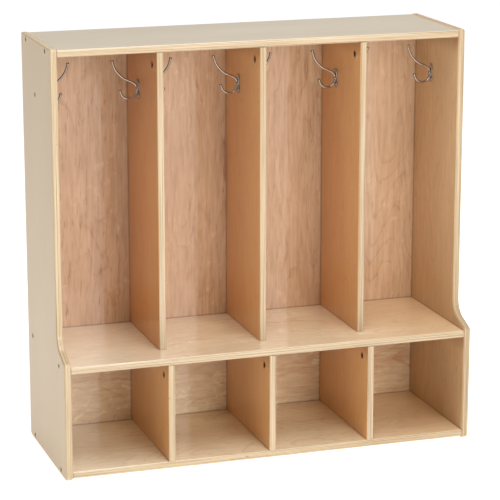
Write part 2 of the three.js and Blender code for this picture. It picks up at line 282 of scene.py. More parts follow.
def combined(mesh, others, operation):
    """A mesh with closed shapes cut away from it or joined to it."""
    scene = bpy.context.scene
    base = bpy.data.objects.new("base", mesh)
    tool = bpy.data.objects.new("tool", merged(others))
    scene.collection.objects.link(base)
    scene.collection.objects.link(tool)
    modifier = base.modifiers.new("boolean", "BOOLEAN")
    modifier.operation = operation
    modifier.solver = "EXACT"
    modifier.object = tool
    graph = bpy.context.evaluated_depsgraph_get()
    result = bpy.data.meshes.new_from_object(base.evaluated_get(graph))
    for spare in (base, tool):
        bpy.data.objects.remove(spare)
    return result


def hole(diameter, low, high):
    """A round cutting shape along +X, wider than what goes in it by the clearance."""
    radius = diameter / 2 + CLEARANCE
    return turned([(0, low), (radius, low), (radius, high), (0, high)])


def show(node, mesh, material, sharp=32):
    """Shows a fine mesh in place of a CAD node."""
    piece = bpy.data.objects.new(f"{node}_fine", mesh)
    bpy.context.scene.collection.objects.link(piece)
    mesh.materials.clear()
    mesh.materials.append(material)
    mesh.polygons.foreach_set("use_smooth", [True] * len(mesh.polygons))
    mesh.set_sharp_from_angle(angle=math.radians(sharp))
    normals = piece.modifiers.new("normals", "WEIGHTED_NORMAL")
    normals.keep_sharp = True
    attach(piece, BODY)
    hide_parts(node)
    return piece


# ---- Materials ----


class Graph:
    """A material's nodes under short names."""

    def __init__(self, name):
        self.material = bpy.data.materials.new(name)
        self.material.use_nodes = True
        self.tree = self.material.node_tree
        self.shader = self.tree.nodes["Principled BSDF"]

    def put(self, socket, value):
        if isinstance(value, bpy.types.NodeSocket):
            self.tree.links.new(value, socket)
        else:
            socket.default_value = value

    def set(self, **values):
        for name, value in values.items():
            self.put(self.shader.inputs[name.replace("_", " ")], value)

    def position(self):
        """The point's place along X, Y and Z."""
        coordinates = self.tree.nodes.new("ShaderNodeTexCoord")
        split = self.tree.nodes.new("ShaderNodeSeparateXYZ")
        self.put(split.inputs[0], coordinates.outputs["Object"])
        return list(split.outputs)

    def math(self, operation, *values):
        node = self.tree.nodes.new("ShaderNodeMath")
        node.operation = operation
        for socket, value in zip(node.inputs, values):
            self.put(socket, value)
        return node.outputs[0]

    def scaled(self, value, scale, offset=0.0):
        return self.math("MULTIPLY_ADD", value, scale, offset)

    def noise(self, x, y, z, detail=2.0, distortion=0.0):
        """Noise about zero, mostly within one either way, in a space that the caller has scaled."""
        join = self.tree.nodes.new("ShaderNodeCombineXYZ")
        for socket, value in zip(join.inputs, (x, y, z)):
            self.put(socket, value)
        node = self.tree.nodes.new("ShaderNodeTexNoise")
        self.put(node.inputs["Vector"], join.outputs[0])
        self.put(node.inputs["Scale"], 1.0)
        self.put(node.inputs["Detail"], detail)
        self.put(node.inputs["Distortion"], distortion)
        return self.scaled(node.outputs[0], 4.0, -2.0)

    def step(self, value, low, high):
        """0 below low, 1 above high and smooth between them."""
        node = self.tree.nodes.new("ShaderNodeMapRange")
        node.interpolation_type = "SMOOTHSTEP"
        for socket, number in zip(node.inputs, (value, low, high, 0.0, 1.0)):
            self.put(socket, number)
        return node.outputs[0]

    def total(self, *terms):
        """The sum of value and weight pairs, with a first plain number."""
        result = terms[0]
        for value, weight in terms[1:]:
            result = self.scaled(value, weight, result)
        return result

    def mix(self, factor, first, second):
        node = self.tree.nodes.new("ShaderNodeMix")
        node.data_type = "RGBA"
        node.clamp_factor = True
        self.put(node.inputs[0], factor)
        self.put(node.inputs[6], first)
        self.put(node.inputs[7], second)
        return node.outputs[2]

    def bump(self, height, strength, distance):
        node = self.tree.nodes.new("ShaderNodeBump")
        self.put(node.inputs["Height"], height)
        self.put(node.inputs["Strength"], strength)
        self.put(node.inputs["Distance"], distance)
        self.put(self.shader.inputs["Normal"], node.outputs[0])


def rgb(red, green, blue):
    return (red, green, blue, 1.0)


WHITE = rgb(1.0, 1.0, 1.0)

# ---- Plies ----
EDGE_PALE = rgb(0.71, 0.555, 0.355)
EDGE_DEEP = rgb(0.36, 0.23, 0.11)
EDGE_DARK = rgb(0.16, 0.09, 0.045)
PLY = 1.36 * MM
# What makes a ply paler: its own tone, drift along it, grain, whether it is end grain, and painted light that
# pales it towards the left, along X.
PLY_VALUE = {"own": 0.86, "drift": 0.60, "speckle": 0.08, "end_grain": -0.45, "x": -0.28}
PLY_SCALES = {"drift": 4.0, "speckle": 800.0, "pits": 60.0}  # per metre
PLIES_APART = 5.7  # in the noise
PITS_APART = 3.3
GLUE_LINE = (0.42, 0.5)  # across half a ply
GLUE_STRENGTH = 0.45
VOIDS = (0.95, 1.1)

# ---- Veneers ----
FACE_VENEER = 0.9 * MM
FACE_BLUR = 0.1 * MM  # between the veneer and the first ply
# The colour of the painted shade at the joints and under the level boards.
PAINTED_SHADE_DARK = rgb(0.26, 0.10, 0.035)
JOINT_SHADE_WIDTH = 3.5 * MM  # how far from a joint its darkening reaches: a dark joint line and painted shade in the corner
JOINT_SHADE_STRENGTH = 0.55
PAINTED_UNDER_SHADE_REACH = 42 * MM  # painted shade: how far below a board the wood is painted darker
PAINTED_UNDER_SHADE_STRENGTH = 0.50
UNLIKE_FACES = 300.0  # how far apart in the noise, per metre of thickness, a board's two faces are
LACQUER = {"roughness": 0.50, "uneven": 0.05, "specular": 0.3, "coat_roughness": 0.06}
FIBRE_BUMP = 0.12
BUMP_HEIGHT = 0.1 * MM
# The noises in a veneer: scales along the grain and across it per metre, offset, detail and distortion.
FIGURE = {
    "broad": (1.8, 7.0, 9.0, 2.0, 0.0),
    "growth": (2.2, 8.0, 0.0, 1.0, 0.0),
    "sway": (32.0, 50.0, 0.0, 3.0, 0.0),
    "fading": (5.0, 14.0, 4.0, 2.0, 0.0),
    "wisps": (24.0, 230.0, 5.0, 2.0, 0.8),
    "fibre": (13.0, 170.0, 0.0, 3.0, 0.4),
    "streaks": (20.0, 95.0, 7.0, 3.0, 1.0),
    "blotches": (40.0, 60.0, 2.0, 4.0, 0.6),
    "shining": (7.0, 9.0, 3.0, 2.0, 0.0),
}
# From where a noise begins to count to where it counts in full.
COUNTS = {
    "ring": (0.72, 0.97),
    "fading": (-0.6, 0.5),
    "wisps": (0.35, 0.75),
    "patches": (-0.6, 0.4),
    "blotches": (0.1, 0.9),
    "shining": (-0.3, 0.6),
}
RINGS = {"growth": 4.6, "sway": 0.22}
CURL = {"own": -0.17, "streaks": 0.36, "gleams": 1.25}
VENEER_VALUE = 0.72  # of a face without any figure, from its deepest colour at 0 to its palest at 1

# The veneers, each with its palest and its deepest colour, and the weight of the lacquer on it.
CREAM_BIRCH = {"pale": rgb(0.61, 0.445, 0.25), "deep": rgb(0.47, 0.32, 0.165)}
BUFF_BIRCH = {"pale": rgb(0.66, 0.475, 0.29), "deep": rgb(0.46, 0.30, 0.16)}
PALE_BIRCH = {"pale": rgb(0.725, 0.615, 0.455), "deep": rgb(0.45, 0.35, 0.22), "gloss": 0.8}
HONEY_BIRCH = {"pale": rgb(0.96, 0.805, 0.58), "deep": rgb(0.58, 0.395, 0.205), "gloss": 1.0}
AMBER_BIRCH = {"pale": rgb(0.98, 0.84, 0.60), "deep": rgb(0.66, 0.42, 0.215), "gloss": 0.8}
SAND_BIRCH = {"pale": rgb(0.83, 0.56, 0.315), "deep": rgb(0.42, 0.23, 0.10)}
TAN_BIRCH = {"pale": rgb(0.84, 0.595, 0.35), "deep": rgb(0.36, 0.20, 0.08), "gloss": 0.35}
PINK_BIRCH = {"pale": rgb(0.77, 0.53, 0.33), "deep": rgb(0.42, 0.20, 0.09), "gloss": 0.8}
ROSE_BIRCH = {"pale": rgb(0.98, 0.84, 0.58), "deep": rgb(0.68, 0.39, 0.20), "gloss": 1.0}
# For the dividers' left faces: the birch's own tone deepened and warmed by painted shade of the bays, most on
# the first divider.
WARM_BIRCH_PAINTED_SHADE = {"pale": rgb(0.80, 0.43, 0.16), "deep": rgb(0.44, 0.185, 0.055), "gloss": 0.9}
RUST_BIRCH_PAINTED_SHADE = {"pale": rgb(0.77, 0.375, 0.125), "deep": rgb(0.41, 0.155, 0.042), "gloss": 0.9}
# How strongly a face shows broad clouds, growth lines, short wisps, curl across the grain and fibres.
QUIET = {"broad": 0.14, "lines": 0.06, "wisps": 0.08, "curl": 0.03, "fibre": 0.06}
PLAIN = {"broad": 0.12, "lines": 0.10, "wisps": 0.18, "curl": 0.04, "fibre": 0.12}
WISPY = {"broad": 0.15, "lines": 0.22, "wisps": 0.42, "curl": 0.24, "fibre": 0.24}
MOTTLED = {"broad": 0.26, "lines": 0.28, "wisps": 0.36, "curl": 0.26, "fibre": 0.12}
CURLY = {"broad": 0.34, "lines": 0.34, "wisps": 0.30, "curl": 0.66, "fibre": 0.14}
# Painted light and shade: how a board's veneer changes along an axis from a start to an end, in paleness and
# towards a tint.
# Painted sheen: paler and whiter towards the left of the seat and the bottom.
PAINTED_SHEEN_LEFT = {
    "axis": X, "start": -0.12, "end": -0.40, "gain": 0.30, "tint": rgb(1.0, 0.97, 0.88), "tinted": 0.18
}
# Painted warm shade: more golden towards the right of the seat and the bottom.
PAINTED_WARM_SHADE_RIGHT = {
    "axis": X, "start": 0.12, "end": 0.40, "gain": 0.0, "tint": rgb(0.85, 0.55, 0.27), "tinted": 0.45
}
# Painted shade towards the left of the upper back, and painted light towards its right.
PAINTED_SHADE_LEFT = {"axis": X, "start": -0.10, "end": -0.30, "gain": -0.07}
PAINTED_LIGHT_RIGHT = {"axis": X, "start": 0.05, "end": 0.45, "gain": 0.17}
# Painted shade: the sides' inner faces darker towards the bottom.
PAINTED_SHADE_BELOW = {"axis": Z, "start": 0.55, "end": 0.10, "gain": -0.18}
# Painted shade: darker towards the top board, on the first divider's left face.
PAINTED_SHADE_ABOVE = {"axis": Z, "start": 0.62, "end": 0.86, "gain": -0.30}
CREAM_FACE = {"look": PLAIN, **CREAM_BIRCH}
BUFF_FACE = {"look": PLAIN, **BUFF_BIRCH}
SAND_FACE = {"look": PLAIN, **SAND_BIRCH}
LEVEL = {"grain": X, "look": MOTTLED, "painted_light_and_shade": [PAINTED_SHEEN_LEFT, PAINTED_WARM_SHADE_RIGHT]}
# A divider's left face takes painted shade that its sand right face lacks.
UPRIGHT_BOARD = {"grain": Z, "look": PLAIN, "reverse": SAND_FACE}
SIDE = {"grain": Z, "look": PLAIN, **TAN_BIRCH, "painted_light_and_shade": [PAINTED_SHADE_BELOW], "reverse": CREAM_FACE}
# Each board's veneer, and that of its reverse where it differs: its right or rear face, or its left one
# for the left side.
VENEERS = {
    "left_side_panel": {"seed": 1.3, **SIDE, "reverse_left": True},
    "right_side_panel": {"seed": 4.1, **SIDE},
    "top_panel": {"grain": X, "seed": 7.7, "look": QUIET, **PALE_BIRCH},
    "seat_panel": {"seed": 12.4, **LEVEL, **HONEY_BIRCH},
    "bottom_panel": {"seed": 15.9, **LEVEL, **AMBER_BIRCH},
    "upper_back_panel": {
        "grain": Z, "seed": 21.5, "look": WISPY, **PINK_BIRCH, "painted_light_and_shade": [PAINTED_SHADE_LEFT, PAINTED_LIGHT_RIGHT],
        "reverse": BUFF_FACE,
    },
    "lower_back_panel": {"grain": X, "seed": 26.2, "look": CURLY, **ROSE_BIRCH, "reverse": BUFF_FACE},
    "upper_divider_1": {"seed": 31.0, **UPRIGHT_BOARD, **RUST_BIRCH_PAINTED_SHADE, "painted_light_and_shade": [PAINTED_SHADE_ABOVE]},
    "upper_divider": {"seed": 31.0, **UPRIGHT_BOARD, **WARM_BIRCH_PAINTED_SHADE},
    "lower_divider": {"seed": 38.0, **UPRIGHT_BOARD, **WARM_BIRCH_PAINTED_SHADE},
}


def veneer_value(g, u, v, side, look):
    """How pale the face veneer is: u runs along the grain, v across it, and side tells the faces apart."""

    def figure(name):
        along, across, offset, detail, distortion = FIGURE[name]
        apart = g.scaled(side, 1.0, offset)
        return g.noise(g.scaled(u, along), g.scaled(v, across), apart, detail, distortion)

    def counted(value, name):
        return g.step(value, *COUNTS[name])

    broad, fibre = figure("broad"), figure("fibre")
    # A growth line darkens slowly and ends sharply, where the slanting cut leaves a year's wood.
    growth = g.total(0.0, (figure("growth"), RINGS["growth"]), (figure("sway"), RINGS["sway"]))
    ring = counted(g.math("FRACT", growth), "ring")
    lines = g.math("MULTIPLY", ring, counted(figure("fading"), "fading"))
    # Wisps are short dark marks that lie nearly along the grain, in patches.
    wisps = g.math("MULTIPLY", counted(figure("wisps"), "wisps"), counted(broad, "patches"))
    # Curl is pale gleams with streaks among them.
    blotches, shining = (counted(figure(name), name) for name in ("blotches", "shining"))
    gleams = g.math("MULTIPLY", blotches, shining)
    curl = g.total(CURL["own"], (figure("streaks"), CURL["streaks"]), (gleams, CURL["gleams"]))
    value = g.total(
        VENEER_VALUE,
        (broad, look["broad"]),
        (lines, -look["lines"]),
        (wisps, -look["wisps"]),
        (curl, look["curl"]),
        (fibre, look["fibre"]),
    )
    return value, fibre


def ply_colour(g, u, v, depth, seed, x):
    """The plies that a cut edge shows: long grain and end grain by turns, with thin glue lines and voids, and
    painted light towards the left.
    """
    scales, weights = PLY_SCALES, PLY_VALUE
    layer = g.scaled(depth, 1 / PLY)
    index = g.math("FLOOR", layer)
    end_grain = g.math("FLOORED_MODULO", index, 2.0)
    within = g.math("ABSOLUTE", g.math("SUBTRACT", g.math("FRACT", layer), 0.5))
    which = g.scaled(index, PLIES_APART, seed)
    drift = g.noise(g.scaled(u, scales["drift"]), g.scaled(v, scales["drift"]), which)
    speckle = g.noise(*(g.scaled(part, scales["speckle"]) for part in (u, v, depth)))
    pits = g.noise(
        g.scaled(u, scales["pits"]), g.scaled(v, scales["pits"]), g.scaled(which, 1.0, PITS_APART)
    )
    value = g.total(
        weights["own"],
        (drift, weights["drift"]),
        (speckle, weights["speckle"]),
        (end_grain, weights["end_grain"]),
        # Painted light: the plies paler towards the left.
        (x, weights["x"]),
    )
    wood = g.mix(value, EDGE_DEEP, EDGE_PALE)
    glued = g.mix(g.scaled(g.step(within, *GLUE_LINE), GLUE_STRENGTH), wood, EDGE_DARK)
    voids = g.math("MULTIPLY", g.step(pits, *VOIDS), end_grain)
    return g.mix(voids, glued, EDGE_DARK)


def tiers_of(node):
    """The tier that a board is named after, or both of them for a side."""
    return [tier for tier in TIERS if tier in node] or list(TIERS)


def joints_of(node):
    """The planes, by axis and place, along which other boards meet a board's faces."""
    back_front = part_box("upper_back_panel")[0].y
    if node in ("seat_panel", "bottom_panel"):
        return [(Y, back_front)]
    levels = {level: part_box(f"{level}_panel") for level in LEVELS}
    joints = []
    for tier in tiers_of(node):
        below, above = TIERS[tier]
        joints += [(Z, levels[below][1].z), (Z, levels[above][0].z)]
    if node in ("upper_back_panel", "lower_back_panel"):
        inner_faces = (wall_faces(0)[1], wall_faces(4)[0])
        dividers = [face for index in DIVIDERS for face in wall_faces(index)]
        return joints + [(X, face) for face in (*inner_faces, *dividers)]
    return [*joints, (Y, back_front)]


def joint_shade(g, place, joints):
    """1 in the corners where boards meet, for a dark joint line and painted shade in the corner, and 0 away
    from them.
    """
    nearest = None
    for axis, where in joints:
        distance = g.math("ABSOLUTE", g.math("SUBTRACT", place[axis], where))
        nearest = g.math("MINIMUM", nearest, distance) if nearest else distance
    return g.math("SUBTRACT", 1.0, g.step(nearest, 0.0, JOINT_SHADE_WIDTH))


def painted_under_shade(g, z, node):
    """Painted shade: 1 right below a level board, 0 from some way down and 0 above it."""
    shade = 0.0
    for tier in tiers_of(node):
        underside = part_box(f"{TIERS[tier][1]}_panel")[0].z
        down = g.math("SUBTRACT", underside, z)
        near = g.step(down, PAINTED_UNDER_SHADE_REACH, 0.0)
        is_below = g.math("GREATER_THAN", down, 0.0)
        shade = g.scaled(near, is_below, shade)
    return shade


def birch(node, board):
    """Lacquered birch plywood as a solid: face veneer on both faces, and plies wherever it is cut."""
    low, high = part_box(node)
    size = high - low
    thin = min((X, Y, Z), key=lambda axis: size[axis])
    grain = board["grain"]
    other = X + Y + Z - thin - grain
    g = Graph(f"birch_{node}")
    place = g.position()
    depth = g.math("SUBTRACT", place[thin], low[thin])
    from_middle = g.math("ABSOLUTE", g.math("SUBTRACT", depth, size[thin] / 2))
    veneer_start = size[thin] / 2 - FACE_VENEER
    on_face = g.step(from_middle, veneer_start - FACE_BLUR, veneer_start)
    side = g.scaled(depth, UNLIKE_FACES, board["seed"])
    u, v = place[grain], place[other]
    value, fibre = veneer_value(g, u, v, side, board["look"])
    tints = []
    # Painted light and shade along the board.
    for drift in board.get("painted_light_and_shade", ()):
        along = g.step(place[drift["axis"]], drift["start"], drift["end"])
        value = g.scaled(along, drift["gain"], value)
        if "tint" in drift:
            tints.append((g.scaled(along, drift["tinted"]), drift["tint"]))
    face = g.mix(value, board["deep"], board["pale"])
    for reach, tint in tints:
        face = g.mix(reach, face, tint)
    if node != "top_panel":
        # Dark joint lines, with painted shade in the corners where other boards meet this one.
        shade = g.scaled(joint_shade(g, place, joints_of(node)), JOINT_SHADE_STRENGTH)
        if thin != Z:
            # Painted shade below the level boards, where little light reaches.
            shade = g.math("MAXIMUM", shade, g.scaled(painted_under_shade(g, place[Z], node), PAINTED_UNDER_SHADE_STRENGTH))
        face = g.mix(shade, face, PAINTED_SHADE_DARK)
    if "reverse" in board:
        reverse = board["reverse"]
        reverse_value, _ = veneer_value(g, u, v, side, reverse["look"])
        reverse_face = g.mix(reverse_value, reverse["deep"], reverse["pale"])
        if "divider" in node:
            # The same joint lines and painted shade on the dividers' right faces.
            reverse_face = g.mix(shade, reverse_face, PAINTED_SHADE_DARK)
        beyond = "LESS_THAN" if "reverse_left" in board else "GREATER_THAN"
        face = g.mix(g.math(beyond, depth, size[thin] / 2), face, reverse_face)
    # The place along X carries the painted light on the plies.
    cut = ply_colour(g, u, v, depth, board["seed"], place[X])
    g.set(
        Base_Color=g.mix(on_face, cut, face),
        Roughness=g.scaled(fibre, LACQUER["uneven"], LACQUER["roughness"]),
        Specular_IOR_Level=LACQUER["specular"],
        Coat_Weight=board["gloss"],
        Coat_Roughness=LACQUER["coat_roughness"],
    )
    g.bump(fibre, FIBRE_BUMP, BUMP_HEIGHT)
    return g.material


# Each metal, with how strong its cloudiness is and how fine, per metre.
METALS = {
    "dark_steel": {"colour": rgb(0.17, 0.14, 0.11), "roughness": 0.42, "patina": 0.25, "scale": 220.0},
    # The cams' zinc is painted very dark brown: the shade of the holes they sit in.
    "zinc": {"colour": rgb(0.17, 0.10, 0.055), "roughness": 0.50, "patina": 0.25, "scale": 220.0},
    # The chrome is darkened and tinted warm: a painted reflection of the wood and the shade round the hooks.
    "chrome": {"colour": rgb(0.46, 0.42, 0.38), "roughness": 0.09, "patina": 0.08, "scale": 60.0},
}
METAL_VALUE = 0.7  # where metal without clouds lies between dull, at 0, and bright, at 1
METAL_DULL = 0.72  # how bright dull metal is beside bright metal
METAL_UNEVEN = 0.25  # how much the roughness varies, as a share of it
METAL_DETAIL = 3.0
BEECH_PALE = rgb(0.66, 0.46, 0.28)
BEECH_DEEP = rgb(0.38, 0.22, 0.11)
BEECH = {
    "roughness": 0.75,
    "own": 0.7,
    "tone": 0.2,
    "tone_across": 200.0,
    "tone_along": 20.0,
    "tone_detail": 3.0,
    "flecks": -0.6,
    "flecks_across": 1500.0,
    "flecks_along": 300.0,
    "flecks_detail": 2.0,
    "flecks_counted": (0.4, 0.9),
    "flecks_bump": 0.2,
}


def metal(name):
    """Metal with faint cloudiness and uneven polish."""
    kind = METALS[name]
    g = Graph(name)
    cloud = g.noise(*(g.scaled(part, kind["scale"]) for part in g.position()), METAL_DETAIL)
    value = g.total(METAL_VALUE, (cloud, kind["patina"]))
    dull = rgb(*(METAL_DULL * part for part in kind["colour"][:3]))
    g.set(
        Base_Color=g.mix(value, dull, kind["colour"]),
        Metallic=1.0,
        Roughness=g.scaled(cloud, kind["roughness"] * METAL_UNEVEN, kind["roughness"]),
    )
    return g.material


def beech():
    """Unfinished beech with its short dark flecks, grain upright."""
    g = Graph("beech")
    x, y, z = g.position()

    def figure(name):
        across, along, detail = (BEECH[f"{name}_{part}"] for part in ("across", "along", "detail"))
        return g.noise(g.scaled(x, across), g.scaled(y, across), g.scaled(z, along), detail)

    flecks, tone = figure("flecks"), figure("tone")
    counted = g.step(flecks, *BEECH["flecks_counted"])
    value = g.total(BEECH["own"], (tone, BEECH["tone"]), (counted, BEECH["flecks"]))
    g.set(Base_Color=g.mix(value, BEECH_DEEP, BEECH_PALE), Roughness=BEECH["roughness"])
    g.bump(flecks, BEECH["flecks_bump"], BUMP_HEIGHT)
    return g.material


# ---- Boards ----


def side_outline(low, high):
    """A side seen from its end, in Y and Z: it steps forward below the bays by a hollow curve and a slope."""
    upper = low.y + UPPER_SETBACK
    rise = math.tan(math.radians(NOTCH_SLOPE))
    run = math.cos(math.radians(NOTCH_SLOPE))
    hollow = (upper - NOTCH_ROUND, NOTCH_FRONT + (UPPER_SETBACK - NOTCH_ROUND) * rise + NOTCH_ROUND / run)
    lip = (low.y + NOTCH_LIP, NOTCH_FRONT + NOTCH_LIP * rise - NOTCH_LIP / run)
    outline = arc((low.y + FOOT_ROUND, low.z + FOOT_ROUND), FOOT_ROUND, 180, 270)
    outline += arc((high.y - FOOT_ROUND, low.z + FOOT_ROUND), FOOT_ROUND, 270, 360)
    outline += arc((high.y - HEAD_ROUND, high.z - HEAD_ROUND), HEAD_ROUND, 0, 90)
    outline += arc((upper + HEAD_ROUND, high.z - HEAD_ROUND), HEAD_ROUND, 90, 180)
    outline += arc(hollow, NOTCH_ROUND, 0, NOTCH_SLOPE - 90, 16)
    outline += arc(lip, NOTCH_LIP, 90 + NOTCH_SLOPE, 180)
    return outline


def stepped_hole(head, sunk, shank, thickness):
    """A cutting shape along +X for a head that is sunk in a face, and its shank through the board."""
    head_radius = head / 2 + CLEARANCE
    shank_radius = shank / 2 + CLEARANCE
    return turned([
        (0, -PAST),
        (head_radius, -PAST),
        (head_radius, sunk + CLEARANCE),
        (shank_radius, sunk + CLEARANCE),
        (shank_radius, thickness + PAST),
        (0, thickness + PAST),
    ])


def back_slot(low, high):
    """A cutting block round the back boards, between two corners that give its X and Z."""
    back_low, back_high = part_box("upper_back_panel")
    return block(
        (low[0], back_low.y - CLEARANCE, low[1]),
        (high[0], back_high.y + CLEARANCE, high[1]),
    )


def side_panel(side, hand):
    node = f"{side}_side_panel"
    low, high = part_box(node)
    thickness = high.x - low.x
    outer = low.x if hand < 0 else high.x
    turn = Matrix.Identity(4) if hand < 0 else HALF_TURN
    screw_hole = stepped_hole(
        SCREW["head"], SCREW_SUNK + SCREW["head_height"], SCREW["neck"], thickness
    )
    bolt_hole = stepped_hole(
        HOOK_BOLT["head"], HOOK_BOLT_SUNK + HOOK_BOLT["head_height"], HOOK_BOLT["thread"], thickness
    )
    cuts = []
    for board in LEVELS:
        for end in ("front", "rear"):
            centre = middle_of(f"screw_{side}_{board}_{end}")
            cuts.append(placed(screw_hole, move(outer, centre.y, centre.z) @ turn))
    bolt = middle_of(f"hook_bolt_{side}")
    cuts.append(placed(bolt_hole, move(outer, bolt.y, bolt.z) @ turn))
    inner = outer - hand * thickness
    groove = sorted((inner - hand * PAST, inner + hand * (GROOVE_DEPTH + CLEARANCE)))
    lowest, highest = middle_of("bottom_panel").z, middle_of("top_panel").z
    cuts.append(back_slot((groove[0], lowest), (groove[1], highest)))
    blank = plate(side_outline(low, high), low.x, high.x, "yzx", CORNER)
    mesh = combined(blank, cuts, "DIFFERENCE")
    show(node, mesh, birch(node, VENEERS[node]))


def level_panel(board):
    node = f"{board}_panel"
    low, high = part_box(node)
    section = rounded_box((low.y, low.z), (high.y, high.z), (CORNER, EASED, EASED, CORNER))
    blank = plate(section, low.x, high.x, "yzx")
    cuts = []
    for side, hand in (("left", -1), ("right", 1)):
        for end in ("front", "rear"):
            name = f"screw_{side}_{board}_{end}"
            centre = middle_of(name)
            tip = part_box(name)[0 if hand > 0 else 1].x - hand * CLEARANCE
            start = (high.x if hand > 0 else low.x) + hand * PAST
            shape = hole(SCREW["core"], min(tip, start), max(tip, start))
            cuts.append(placed(shape, move(0, centre.y, centre.z)))
    for tier, (below, above) in TIERS.items():
        if board == above:
            for index in DIVIDERS:
                pin = middle_of(f"cam_pin_{tier}_{index}")
                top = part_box(f"cam_pin_{tier}_{index}")[1].z + CLEARANCE
                shape = placed(hole(PIN["thread"], low.z - PAST, top), UPRIGHT)
                cuts.append(placed(shape, move(pin.x, pin.y, 0)))
            cuts.append(back_slot(
                (low.x - PAST, low.z - PAST), (high.x + PAST, low.z + GROOVE_DEPTH + CLEARANCE)
            ))
        if board == below:
            for index in DIVIDERS:
                dowel = middle_of(f"dowel_{tier}_{index}")
                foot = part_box(f"dowel_{tier}_{index}")[0].z - CLEARANCE
                shape = placed(hole(DOWEL["diameter"], foot, high.z + PAST), UPRIGHT)
                cuts.append(placed(shape, move(dowel.x, dowel.y, 0)))
            cuts.append(back_slot(
                (low.x - PAST, high.z - GROOVE_DEPTH - CLEARANCE), (high.x + PAST, high.z + PAST)
            ))
    mesh = combined(blank, cuts, "DIFFERENCE")
    show(node, mesh, birch(node, VENEERS[node]))


def divider(tier, index):
    node = f"{tier}_divider_{index}"
    low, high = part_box(node)
    section = rounded_box((low.x, low.y), (high.x, high.y), (CORNER, CORNER, JOINT_EASED, JOINT_EASED))
    blank = plate(section, low.z, high.z, "xyz", EASED, 2)
    cam = middle_of(f"cam_lock_{tier}_{index}")
    pin = middle_of(f"cam_pin_{tier}_{index}")
    dowel_low, dowel_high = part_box(f"dowel_{tier}_{index}")
    dowel = middle_of(f"dowel_{tier}_{index}")
    reach = low.x + CAM["sunk"] + CAM["depth"] + CLEARANCE
    cuts = [
        placed(hole(CAM["diameter"], low.x - PAST, reach), move(0, cam.y, cam.z)),
        placed(placed(hole(PIN["collar"], cam.z, high.z + PAST), UPRIGHT), move(pin.x, pin.y, 0)),
        placed(
            placed(hole(DOWEL["diameter"], dowel_low.z, dowel_high.z + CLEARANCE), UPRIGHT),
            move(dowel.x, dowel.y, 0),
        ),
    ]
    if tier == "upper":
        stud = middle_of(f"hook_stud_{index}")
        shape = hole(HOOK_BOLT["thread"], low.x - PAST, high.x + PAST)
        cuts.append(placed(shape, move(0, stud.y, stud.z)))
    # The pin's hole opens into the cam's, so each is cut in turn.
    mesh = blank
    for cut in cuts:
        mesh = combined(mesh, [cut], "DIFFERENCE")
    board = VENEERS.get(node, VENEERS[f"{tier}_divider"])
    board = {**board, "seed": board["seed"] + 2.3 * index}
    show(node, mesh, birch(node, board))


def back_panel(tier):
    node = f"{tier}_back_panel"
    low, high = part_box(node)
    outline = rounded_box((low.x, low.z), (high.x, high.z), (2 * EASED,) * 4)
    mesh = plate(outline, low.y, high.y, "xzy", EASED, 2)
    show(node, mesh, birch(node, VENEERS[node]))


# ---- Fasteners ----


def rounded_profile(corners, radius, steps=3):
    """A turned profile with each of its outer corners rounded off a little."""
    profile = []
    for index, corner in enumerate(corners):
        if index in (0, len(corners) - 1):
            profile.append(corner)
            continue
        point = Vector(corner)
        before = Vector(corners[index - 1]) - point
        after = Vector(corners[index + 1]) - point
        reach = min(radius, before.length / 2, after.length / 2)
        start = point + before.normalized() * reach
        end = point + after.normalized() * reach
        for step in range(steps + 1):
            t = step / steps
            curve = start * (1 - t) ** 2 + point * 2 * t * (1 - t) + end * t ** 2
            profile.append((curve.x, curve.y))
    return profile


def socketed(blank, socket):
    """A turned blank with a six-sided socket in its near end."""
    across, deep = socket
    key = turned([(0, -PAST), (across / 2, -PAST), (across / 2, deep), (0, deep)], 6)
    return combined(blank, [key], "DIFFERENCE")


def connector_screw():
    head, neck, core = SCREW["head"] / 2, SCREW["neck"] / 2, SCREW["core"] / 2
    neck_end = SCREW["head_height"] + SCREW["neck_height"] - CLEARANCE
    blank = turned(rounded_profile([
        (0, 0),
        (head, 0),
        (head, SCREW["head_height"]),
        (neck, SCREW["head_height"]),
        (neck, neck_end),
        (core, neck_end),
        (core, SCREW_LENGTH),
        (0, SCREW_LENGTH),
    ], HEAD_ROUNDED))
    return socketed(blank, SCREW_SOCKET)


def hook_bolt(thickness):
    head, thread = HOOK_BOLT["head"] / 2, HOOK_BOLT["thread"] / 2
    end = thickness - HOOK_BOLT_SUNK + HOOK_TAP - CLEARANCE
    blank = turned(rounded_profile([
        (0, 0),
        (head, 0),
        (head, HOOK_BOLT["head_height"]),
        (thread, HOOK_BOLT["head_height"]),
        (thread, end),
        (0, end),
    ], HEAD_ROUNDED))
    return socketed(blank, HOOK_BOLT_SOCKET)


def cam_lock():
    """A cam disc along +X from its slotted face, with a pocket above for the pin's head."""
    radius, depth = CAM["diameter"] / 2, CAM["depth"]
    blank = turned(rounded_profile([(0, 0), (radius, 0), (radius, depth), (0, depth)], CAM_ROUNDED), 48)
    long, wide = CAM_CROSS["long"] / 2, CAM_CROSS["wide"] / 2
    bars = [
        block((-PAST, -y, -z), (CAM_CROSS["deep"], y, z)) for y, z in ((long, wide), (wide, long))
    ]
    middle = BOARD / 2 - CAM["sunk"]  # of the board, from the cam's face
    pocket = placed(hole(PIN_HEAD["head"], -PIN_HEAD["head_height"], CAM["diameter"]), UPRIGHT)
    bars.append(placed(pocket, move(middle, 0, 0)))
    mesh = blank
    for cut in bars:
        mesh = combined(mesh, [cut], "DIFFERENCE")
    return mesh


